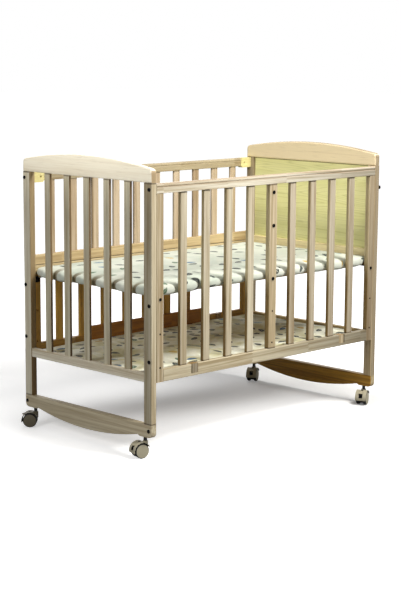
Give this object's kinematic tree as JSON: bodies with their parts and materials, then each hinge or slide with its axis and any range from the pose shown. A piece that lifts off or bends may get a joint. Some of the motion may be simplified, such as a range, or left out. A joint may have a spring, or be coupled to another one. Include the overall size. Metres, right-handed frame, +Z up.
{
  "type": "rocking crib",
  "caption": "Pine rocking crib with arched ends, slatted sides, a fold-down gate, a padded sleeping level, a lower storage shelf and twin-wheel casters",
  "frame": {"origin": "on the floor, under the middle of the whole crib with its casters", "axes": "X along the crib from the slatted end to the panelled end; Y from the fixed slatted side to the side with the gate; Z up"},
  "size_m": [1.1016, 0.6112, 0.897],
  "materials": {
    "pine_pale": "smooth planed pine with a clear satin finish",
    "pine_warm": "planed pine with a clear satin finish, warmer boards",
    "pine_block": "small yellowish pine blocks, clear satin finish",
    "panel_wood": "thin flat panel with straight wood grain, satin",
    "padding": "off-white cotton with small scattered blue, teal and yellow marks",
    "black_steel": "black painted steel, semi-gloss",
    "zinc": "bright zinc plated steel",
    "caster_plastic": "beige-grey moulded plastic, satin"
  },
  "bodies": {
    "crib": {"left_post_front": "pine_pale", "left_post_back": "pine_pale", "left_headrail": "pine_pale", "left_bottom_rail_and_slats": "pine_pale", "left_rocker": "pine_pale", "right_post_front": "pine_pale", "right_post_back": "pine_pale", "right_headrail": "pine_pale", "right_mid_rail": "pine_warm", "right_panel": "panel_wood", "right_bottom_rail": "pine_warm", "right_rocker": "pine_pale", "front_top_rail": "pine_pale", "front_bottom_rail": "pine_pale", "front_stile_left": "pine_pale", "front_stile_right": "pine_pale", "front_centre_upright": "pine_pale", "front_slat_1": "pine_pale", "front_slat_2": "pine_pale", "front_slat_3": "pine_pale", "front_slat_4": "pine_pale", "front_slat_5": "pine_pale", "front_slat_6": "pine_pale", "front_slat_7": "pine_pale", "front_slat_8": "pine_pale", "back_lower_top_rail": "pine_warm", "back_lower_rail_and_slats": "pine_warm", "back_inner_board": "pine_warm", "gate_end_block_left": "pine_block", "gate_end_block_right": "pine_block", "hinge_left_fixed_leaf": "zinc", "hinge_right_fixed_leaf": "zinc", "platform_board": "pine_warm", "mattress": "padding", "platform_bracket_left_front": "black_steel", "platform_bracket_left_back": "black_steel", "platform_bracket_right_front": "black_steel", "platform_bracket_right_back": "black_steel", "cross_bar_left": "pine_pale", "cross_bar_right": "pine_pale", "storage_board": "pine_warm", "storage_pad": "padding"},
    "gate": {"gate_top_rail": "pine_pale", "gate_bottom_rail_and_slats": "pine_pale", "hinge_left_gate_leaf": "zinc", "hinge_right_gate_leaf": "zinc"},
    "latch_left": {"latch_pin_left": "zinc"},
    "latch_right": {"latch_pin_right": "zinc"},
    "caster_left_front": {"caster_left_front_hood": "caster_plastic"},
    "wheels_left_front": {"caster_left_front_wheels": "caster_plastic"},
    "brake_left_front": {"caster_left_front_brake": "caster_plastic"},
    "caster_left_back": {"caster_left_back_hood": "caster_plastic"},
    "wheels_left_back": {"caster_left_back_wheels": "caster_plastic"},
    "brake_left_back": {"caster_left_back_brake": "caster_plastic"},
    "caster_right_front": {"caster_right_front_hood": "caster_plastic"},
    "wheels_right_front": {"caster_right_front_wheels": "caster_plastic"},
    "brake_right_front": {"caster_right_front_brake": "caster_plastic"},
    "caster_right_back": {"caster_right_back_hood": "caster_plastic"},
    "wheels_right_back": {"caster_right_back_wheels": "caster_plastic"},
    "brake_right_back": {"caster_right_back_brake": "caster_plastic"}
  },
  "joints": [
    {"name": "gate_fold", "type": "hinge", "parent": "crib", "child": "gate", "pos_m": [0.01713, 0.30065, 0.526], "axis": [-1, 0, 0], "range_deg": [0, 175]},
    {"name": "latch_left_slide", "type": "slide", "parent": "gate", "child": "latch_left", "axis": [-1, 0, 0], "range_m": [0, 0.01]},
    {"name": "latch_right_slide", "type": "slide", "parent": "gate", "child": "latch_right", "axis": [1, 0, 0], "range_m": [0, 0.01]},
    {"name": "caster_left_front_swivel", "type": "hinge", "parent": "crib", "child": "caster_left_front", "pos_m": [-0.50187, -0.26535, 0.06], "axis": [0, 0, 1], "continuous": true},
    {"name": "caster_left_front_roll", "type": "hinge", "parent": "caster_left_front", "child": "wheels_left_front", "pos_m": [-0.51917, -0.26039, 0.023], "axis": [-0.2756, -0.9613, 0], "continuous": true},
    {"name": "caster_left_front_brake_press", "type": "hinge", "parent": "caster_left_front", "child": "brake_left_front", "pos_m": [-0.52301, -0.25929, 0.043], "axis": [-0.2756, -0.9613, 0], "range_deg": [0, 18]},
    {"name": "caster_left_back_swivel", "type": "hinge", "parent": "crib", "child": "caster_left_back", "pos_m": [-0.50187, 0.25865, 0.06], "axis": [0, 0, 1], "continuous": true},
    {"name": "caster_left_back_roll", "type": "hinge", "parent": "caster_left_back", "child": "wheels_left_back", "pos_m": [-0.51459, 0.27138, 0.023], "axis": [-0.7071, -0.7071, 0], "continuous": true},
    {"name": "caster_left_back_brake_press", "type": "hinge", "parent": "caster_left_back", "child": "brake_left_back", "pos_m": [-0.51742, 0.27421, 0.043], "axis": [-0.7071, -0.7071, 0], "range_deg": [0, 18]},
    {"name": "caster_right_front_swivel", "type": "hinge", "parent": "crib", "child": "caster_right_front", "pos_m": [0.53613, -0.26535, 0.06], "axis": [0, 0, 1], "continuous": true},
    {"name": "caster_right_front_roll", "type": "hinge", "parent": "caster_right_front", "child": "wheels_right_front", "pos_m": [0.51982, -0.27296, 0.023], "axis": [0.4226, -0.9063, 0], "continuous": true},
    {"name": "caster_right_front_brake_press", "type": "hinge", "parent": "caster_right_front", "child": "brake_right_front", "pos_m": [0.5162, -0.27465, 0.043], "axis": [0.4226, -0.9063, 0], "range_deg": [0, 18]},
    {"name": "caster_right_back_swivel", "type": "hinge", "parent": "crib", "child": "caster_right_back", "pos_m": [0.53613, 0.25865, 0.06], "axis": [0, 0, 1], "continuous": true},
    {"name": "caster_right_back_roll", "type": "hinge", "parent": "caster_right_back", "child": "wheels_right_back", "pos_m": [0.52039, 0.24992, 0.023], "axis": [0.4848, -0.8746, 0], "continuous": true},
    {"name": "caster_right_back_brake_press", "type": "hinge", "parent": "caster_right_back", "child": "brake_right_back", "pos_m": [0.51689, 0.24798, 0.043], "axis": [0.4848, -0.8746, 0], "range_deg": [0, 18]}
  ]
}
